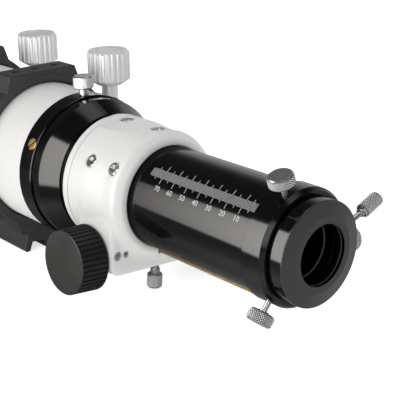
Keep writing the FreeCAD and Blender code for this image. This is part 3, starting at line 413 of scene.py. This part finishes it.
NODE_FINISH = {     # the nodes that need one of their own
    "eyepiece_adapter": adapter_black("adapter_anodised"),
    "flange_screws": slotted_brass("slotted_brass", 0.0441, 0.0447),
    "gear_rack": metal("rack_brass", (0.60, 0.40, 0.17), 0.34, metallic=0.8),
    "focuser_body": white_paint("white_paint_casting", 0.0022, mirrored=0.2),
    "dew_shield": white_paint("white_paint_dew_shield", 0.0005, bore=0.0496),
    "main_tube": white_paint("white_paint_lined_tube", 0.0005, bore=0.0425),
    "fine_focus_knob": metal("plated_fine_knob", STEEL_TONE, 0.20, *AXES["fine_focus"],
                             marks=0.12),
}
for body, node in SCREWS.items():
    NODE_FINISH[node] = metal("plated_" + node, (0.66, 0.66, 0.67), 0.26, *AXES[body],
                              marks=0.08, metallic=0.92)
for body in ("rear_clamp", "front_clamp"):
    NODE_FINISH[body + "_knob"] = metal(
        "aluminium_" + body, (0.94, 0.94, 0.945), 0.40, *AXES[body], marks=0.01, pitch=1500.0,
        stain=0.03, metallic=0.50)

for row in frame["record"]["subparts"]:
    node = row["node"]
    materials = NODES[node].data.materials
    materials.clear()
    materials.append(NODE_FINISH.get(node) or SLOT_FINISH[row["material_slot"]])


# ---------------------------------------------------------------- new pieces
def add_piece(data, material, body):
    """Makes a mesh a piece of its own, under the mesh's name, that rides on a body."""
    data.materials.append(material)
    piece = bpy.data.objects.new(data.name, data)
    bpy.context.scene.collection.objects.link(piece)
    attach(piece, body)


def mesh_piece(name, vertices, faces, material, body):
    """A smooth-shaded piece from its vertices and faces."""
    data = bpy.data.meshes.new(name)
    data.from_pydata(vertices, [], faces)
    data.validate()
    data.polygons.foreach_set("use_smooth", [True] * len(data.polygons))
    add_piece(data, material, body)


# ---------------------------------------------------------------- diamond knurling
SAME_RADIUS = 0.00004       # vertices this near to the widest count as the head's rim
KNURL_LIFT = 0.00004        # the grooves stand this far out of the head
SLEEVE_DEPTH = 0.0006       # the sleeve's inside lies this far inside the head
KNURL_STEPS = 8             # mesh steps to one diamond
KNURL_END = 0.3             # share of the height that the points keep at the head's ends
KNURL_RISE = 8.0            # how steeply they rise from there


def head_of(node, point, axis):
    """(radius, first, last) of a screw's widest part, with its ends measured along the axis."""
    spots = []
    for vertex in NODES[node].data.vertices:
        rel = vertex.co - point
        along = rel.dot(axis)
        spots.append(((rel - axis * along).length, along))
    widest = max(r for r, _ in spots)
    ends = [a for r, a in spots if r > widest - SAME_RADIUS]
    return widest, min(ends), max(ends)


def knurl(name, body, columns, depth, groove=0.03):
    """A closed sleeve of diamond points round a screw's head."""
    point, axis = AXES[body]
    radius, first, last = head_of(SCREWS[body], point, axis)
    side = axis.orthogonal().normalized()
    other = axis.cross(side)
    pitch = 2 * math.pi * radius / columns
    around = columns * KNURL_STEPS
    rows = max(KNURL_STEPS, round((last - first) / pitch * KNURL_STEPS))

    def spot(k, along, r):
        angle = 2 * math.pi * k / around
        return point + axis * along + (side * math.cos(angle) + other * math.sin(angle)) * r

    points = []
    for i in range(rows + 1):
        along = first + (last - first) * i / rows
        fade = min(1.0, KNURL_RISE * min(i, rows - i) / rows + KNURL_END)
        for k in range(around):
            turn = k / around * columns
            a = (turn + (along - first) / pitch) % 1.0
            b = (turn - (along - first) / pitch) % 1.0
            height = min(1 - abs(2 * a - 1), 1 - abs(2 * b - 1))
            points.append(spot(k, along, radius + KNURL_LIFT + depth * height * fade))
    for along in (last, first):
        points += [spot(k, along, radius - SLEEVE_DEPTH) for k in range(around)]
    faces = []
    rings = rows + 3
    for i in range(rings):
        j = (i + 1) % rings
        for k in range(around):
            n = (k + 1) % around
            faces.append((i * around + k, i * around + n, j * around + n, j * around + k))
    # groove is the tone of the painted shade in the grooves
    steel = knurled_steel("plating_" + name, point, axis, radius, depth, groove)
    mesh_piece(name, points, faces, steel, body)


for end in ("upper", "lower", "far"):
    knurl("knurl_collar_" + end, "collar_lock_" + end, 28, 0.00078)
knurl("knurl_adapter", "adapter_lock", 18, 0.00055)
knurl("knurl_focus_lock", "focus_lock", 24, 0.00045)
knurl("knurl_rotation_lock", "rotation_lock", 60, 0.00020, 0.5)
knurl("knurl_dew_shield_lock", "dew_shield_lock", 26, 0.00070)


# ---------------------------------------------------------------- engraved scale
def on_tube(x, angle):
    """Point on the drawtube, in metres."""
    a = math.radians(angle)
    return Vector((x * MM, -SCALE_R * MM * math.sin(a), SCALE_R * MM * math.cos(a)))


def strip(points, faces, x0, angle0, x1, angle1, width, steps=STRIP_STEPS):
    """Adds a thin line between two places on the drawtube."""
    run = Vector((x1 - x0, (angle1 - angle0) * ARC)).normalized()
    across = Vector((-run.y, run.x)) * width / 2
    base = len(points)
    for i in range(steps + 1):
        t = i / steps
        x, angle = x0 + (x1 - x0) * t, angle0 + (angle1 - angle0) * t
        points.append(on_tube(x + across.x, angle + across.y / ARC))
        points.append(on_tube(x - across.x, angle - across.y / ARC))
    for i in range(steps):
        a = base + 2 * i
        faces.append((a, a + 2, a + 3, a + 1))


def scale_marks():
    points, faces = [], []
    for step in range(1, MARK_COUNT + 1):
        x = SCALE_ZERO_X - MARK_PITCH * step
        ends = LONG_MARK if step % 2 == 0 else SHORT_MARK
        for near, far in ((ends[0], BAND_ANGLES[0]), (BAND_ANGLES[1], ends[1])):
            strip(points, faces, x, near, x, far, MARK_WIDTH)
    mesh_piece("scale_marks", points, faces, ENGRAVED, "drawtube")


def scale_hatching():
    """Band of fine slanting lines, crossed by millimetre lines, the length of the scale."""
    points, faces = [], []
    low, high = BAND_ANGLES[0] + BAND_INSET, BAND_ANGLES[1] - BAND_INSET
    start, end = BAND_X
    for lean, pitch, width in BAND_LINES:
        x = start - lean
        while x < end:
            t0 = max(0.0, (start - x) / lean) if lean else 0.0
            t1 = min(1.0, (end - x) / lean) if lean else 1.0
            if t1 - t0 > SHORTEST_LINE:
                strip(points, faces, x + lean * t0, low + (high - low) * t0,
                      x + lean * t1, low + (high - low) * t1, width)
            x += pitch
    for angle in (low, high):
        strip(points, faces, start, angle, end, angle, BAND_SIDE_WIDTH, steps=4)
    for x in (start, end):
        strip(points, faces, x, low, x, high, BAND_END_WIDTH)
    mesh_piece("scale_hatching", points, faces, ENGRAVED, "drawtube")


def scale_number(value):
    """One number of the scale, wrapped on the drawtube."""
    curve = bpy.data.curves.new("number", "FONT")
    curve.body = str(value)
    curve.size = 1.0
    curve.align_x = "CENTER"
    curve.resolution_u = 4
    curve.offset = NUMBER_WEIGHT
    text = bpy.data.objects.new("number", curve)
    bpy.context.scene.collection.objects.link(text)
    bpy.context.view_layer.update()
    data = bpy.data.meshes.new_from_object(text)
    bpy.data.objects.remove(text)
    work = bmesh.new()
    work.from_mesh(data)
    bpy.data.meshes.remove(data)
    tall = max(v.co.y for v in work.verts)
    for k in range(1, NUMBER_SLICES):
        everything = work.verts[:] + work.edges[:] + work.faces[:]
        bmesh.ops.bisect_plane(work, geom=everything, plane_co=(0, tall * k / NUMBER_SLICES, 0),
                               plane_no=(0, 1, 0))
    size = NUMBER_HEIGHT / tall
    for v in work.verts:
        x = SCALE_ZERO_X - value + v.co.x * size * NUMBER_STRETCH
        v.co = on_tube(x, NUMBER_ANGLE - v.co.y * size / ARC)
    data = bpy.data.meshes.new("scale_number_%d" % value)
    work.to_mesh(data)
    work.free()
    add_piece(data, ENGRAVED, "drawtube")


ENGRAVED = engraving("engraved_white")
scale_marks()
scale_hatching()
for value in range(10, 80, 10):
    scale_number(value)


# ---------------------------------------------------------------- felt linings
FELT_VOXEL = 0.0006
FELT_PILE = 0.00010     # the surface sinks by up to this


def soft_lining(name, node, body):
    """The felt of a CAD node, remeshed with a slightly uneven pile."""
    source = NODES[node]
    work = bpy.data.objects.new(name, source.data.copy())
    bpy.context.scene.collection.objects.link(work)
    work.data.materials.clear()
    work.data.materials.append(SLOT_FINISH["felt"])
    remesh = work.modifiers.new("remesh", "REMESH")
    remesh.mode = "VOXEL"
    remesh.voxel_size = FELT_VOXEL
    bpy.context.view_layer.update()
    done = work.evaluated_get(bpy.context.evaluated_depsgraph_get())
    data = bpy.data.meshes.new_from_object(done)
    work.modifiers.clear()
    work.data = data
    normals = [v.normal.copy() for v in data.vertices]
    for v, normal in zip(data.vertices, normals):
        lift = noise.noise(v.co * 900.0) * 0.6 + noise.noise(v.co * 2600.0) * 0.4
        v.co -= normal * FELT_PILE * (0.6 + 0.4 * lift)
    data.polygons.foreach_set("use_smooth", [True] * len(data.polygons))
    data.update()
    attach(work, body)
    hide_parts(node)


soft_lining("felt_lower", "ring_lower_felts", "tube")
soft_lining("felt_rear_upper", "rear_ring_upper_felt", "rear_ring_top")
soft_lining("felt_front_upper", "front_ring_upper_felt", "front_ring_top")
soft_lining("felt_dew_shield", "dew_shield_felt", "tube")


# ---------------------------------------------------------------- floor and light
def stage_plane(name, corners, material):
    data = bpy.data.meshes.new(name)
    data.from_pydata([Vector(c) for c in corners], [], [(0, 1, 2, 3)])
    data.materials.append(material)
    plane = bpy.data.objects.new(name, data)
    bpy.context.scene.collection.objects.link(plane)
    return plane


def floor_material():
    """Pale floor that the eye sees lighter than the glossy parts mirror it."""
    g = Graph("pale_floor")
    path = g.node("ShaderNodeLightPath")
    paper = g.noise(6.0, 3.0)
    bright = g.node("ShaderNodeBsdfDiffuse", {
        "Color": g.blend(paper, rgb(0.86, 0.86, 0.865), rgb(0.88, 0.88, 0.88))})
    east, north, _ = g.node("ShaderNodeSeparateXYZ", {0: g.place}).outputs
    steep = g.node("ShaderNodeSeparateXYZ", {
        0: g.node("ShaderNodeNewGeometry").outputs["Incoming"]}).outputs[2]
    # in reflections it is lighter towards the eyepiece end, and where steep rays meet it beside the tube
    beside = g.calc("MULTIPLY", g.span(steep, 0.50, 0.70), g.span(north, -0.04, -0.09, 0.0, 0.6))
    shade = g.calc("ADD", g.span(east, -0.22, 0.02, 0.20, 0.62, smooth=True), beside)
    dim = g.node("ShaderNodeBsdfDiffuse", {"Color": g.blend(shade, rgb(0.0), rgb(1.0))})
    body = g.mixed(path.outputs["Is Glossy Ray"], bright, dim)
    lift = g.calc("ADD", g.calc("MULTIPLY", path.outputs["Is Camera Ray"], 0.66),
                  g.calc("MULTIPLY", path.outputs["Is Diffuse Ray"], 0.50))
    glow = g.node("ShaderNodeEmission", {"Color": rgb(1.0), "Strength": lift})
    both = g.node("ShaderNodeAddShader")
    g.tree.links.new(body.outputs[0], both.inputs[0])
    g.tree.links.new(glow.outputs[0], both.inputs[1])
    return g.finished(both)


FLOOR_Z = CAD_BOX[0].z - 0.0002
FLOOR_REACH = 6.0
stage_plane("floor", [(x * FLOOR_REACH, y * FLOOR_REACH, FLOOR_Z)
                      for x, y in ((-1, -1), (1, -1), (1, 1), (-1, 1))], floor_material())


def reflector(name, corners, strength, soft, fade):
    """A lit panel that shows only in reflections.

    `soft` is the width of its soft edges, as a share of the panel. Its light rises from the first
    corner to the second with the power `fade`.
    """
    g = Graph(name)
    u, v, _ = g.node("ShaderNodeSeparateXYZ", {0: g.coordinates["UV"]}).outputs
    parts = []
    for run, edge in ((u, soft), (v, soft * 1.4)):
        inside = g.calc("SUBTRACT", 0.5, g.calc("ABSOLUTE", g.calc("SUBTRACT", run, 0.5)))
        parts.append(g.span(inside, 0.0, edge, smooth=True))
    level = g.calc("MULTIPLY", g.calc("POWER", u, fade), strength)
    glow = g.node("ShaderNodeEmission", {"Color": rgb(1.0, 0.975, 0.93), "Strength": level})
    clear = g.node("ShaderNodeBsdfTransparent")
    plane = stage_plane(name, corners, g.finished(
        g.mixed(g.calc("MULTIPLY", *parts), clear, glow)))
    layer = plane.data.uv_layers.new(name="UVMap")
    for loop, uv in zip(layer.data, ((0, 0), (1, 0), (1, 1), (0, 1))):
        loop.uv = uv
    plane.visible_camera = False
    plane.visible_diffuse = False
    plane.visible_transmission = False
    plane.visible_shadow = False


reflector("left_panel", [(-0.62, -0.335, -0.064), (-0.07, -0.205, -0.064),
                         (-0.075, -0.135, 0.183), (-0.62, -0.285, 0.183)],
          strength=8.8, soft=0.07, fade=2.2)
reflector("right_panel", [(0.05, 0.30, -0.05), (-0.62, 0.30, -0.05),
                          (-0.62, 0.25, 0.20), (0.05, 0.25, 0.20)],
          strength=0.72, soft=0.16, fade=0.2)


def area_light(name, place, target, size, power, colour):
    """A rectangular lamp that neither the eye nor a reflection sees."""
    data = bpy.data.lights.new(name, "AREA")
    data.shape = "RECTANGLE"
    data.size, data.size_y = size
    data.energy = power
    data.color = colour
    lamp = bpy.data.objects.new(name, data)
    bpy.context.scene.collection.objects.link(lamp)
    lamp.location = place
    lamp.rotation_euler = (Vector(target) - Vector(place)).to_track_quat("-Z", "Y").to_euler()
    lamp.visible_camera = False
    lamp.visible_glossy = False


area_light("key", place=(-0.70, -1.6, 0.30), target=(-0.2, 0.0, 0.0), size=(1.8, 0.8), power=10.5,
           colour=(1.0, 0.985, 0.95))


EYE_DIRECTION = (0.70, -0.62, 0.36)     # roughly towards the camera


def studio_world():
    """White for the eye, pale grey for soft light, and for mirrors a dark room with three lights."""
    world = bpy.data.worlds.new("studio")
    bpy.context.scene.world = world
    g = Graph("studio", world)
    world.cycles.sampling_method = "NONE"
    direction = g.coordinates["Generated"]
    x, y, z = g.node("ShaderNodeSeparateXYZ", {0: direction}).outputs
    overhead = g.calc("MULTIPLY", g.span(z, 0.78, 0.92, smooth=True),
                      g.span(y, 0.0, 0.2, smooth=True))
    frontal = g.span(g.vector("DOT_PRODUCT", direction, EYE_DIRECTION), 0.90, 0.98, 0.0, 1.8,
                     smooth=True)
    behind = g.calc("MULTIPLY", g.span(y, 0.35, 0.75, 0.0, 0.5, smooth=True),
                    g.span(z, 0.70, 0.30, smooth=True))
    behind = g.calc("MULTIPLY", behind, g.span(x, 0.25, 0.60, 1.0, 0.15, smooth=True))
    mirrored = g.calc("ADD", g.calc("ADD", overhead, behind), g.calc("ADD", frontal, 0.06))
    path = g.node("ShaderNodeLightPath")
    seen = g.blend(path.outputs["Is Diffuse Ray"], rgb(1.0), rgb(0.715, 0.715, 0.725))
    grey = g.node("ShaderNodeCombineColor", {0: mirrored, 1: mirrored, 2: mirrored})
    colour = g.blend(path.outputs["Is Glossy Ray"], seen, grey.outputs[0])
    g.finished(g.node("ShaderNodeBackground", {"Color": colour, "Strength": 1.0}), "World")


studio_world()
bpy.context.scene.view_settings.view_transform = "Standard"


# ---------------------------------------------------------------- camera
CAMERA_PLACE = (0.28308, -0.33213, 0.19030)
CAMERA_AZIMUTH, CAMERA_ELEVATION, CAMERA_ROLL = 48.20, 20.40, -0.80
LENS = 88.15


def photo_camera():
    azimuth, elevation, roll = (math.radians(v) for v in (
        CAMERA_AZIMUTH, CAMERA_ELEVATION, CAMERA_ROLL))
    back = Vector((math.sin(azimuth) * math.cos(elevation),
                   -math.cos(azimuth) * math.cos(elevation), math.sin(elevation)))
    right = (-back).cross(Vector((0, 0, 1))).normalized()
    up = right.cross(-back)
    across = math.cos(roll) * right + math.sin(roll) * up
    over = math.cos(roll) * up - math.sin(roll) * right
    data = bpy.data.cameras.new("camera")
    data.lens = LENS
    data.clip_start = 0.01
    camera = bpy.data.objects.new("camera", data)
    bpy.context.scene.collection.objects.link(camera)
    camera.matrix_world = Matrix.Translation(CAMERA_PLACE) @ Matrix(
        (across, over, back)).transposed().to_4x4()
    bpy.context.scene.camera = camera


photo_camera()
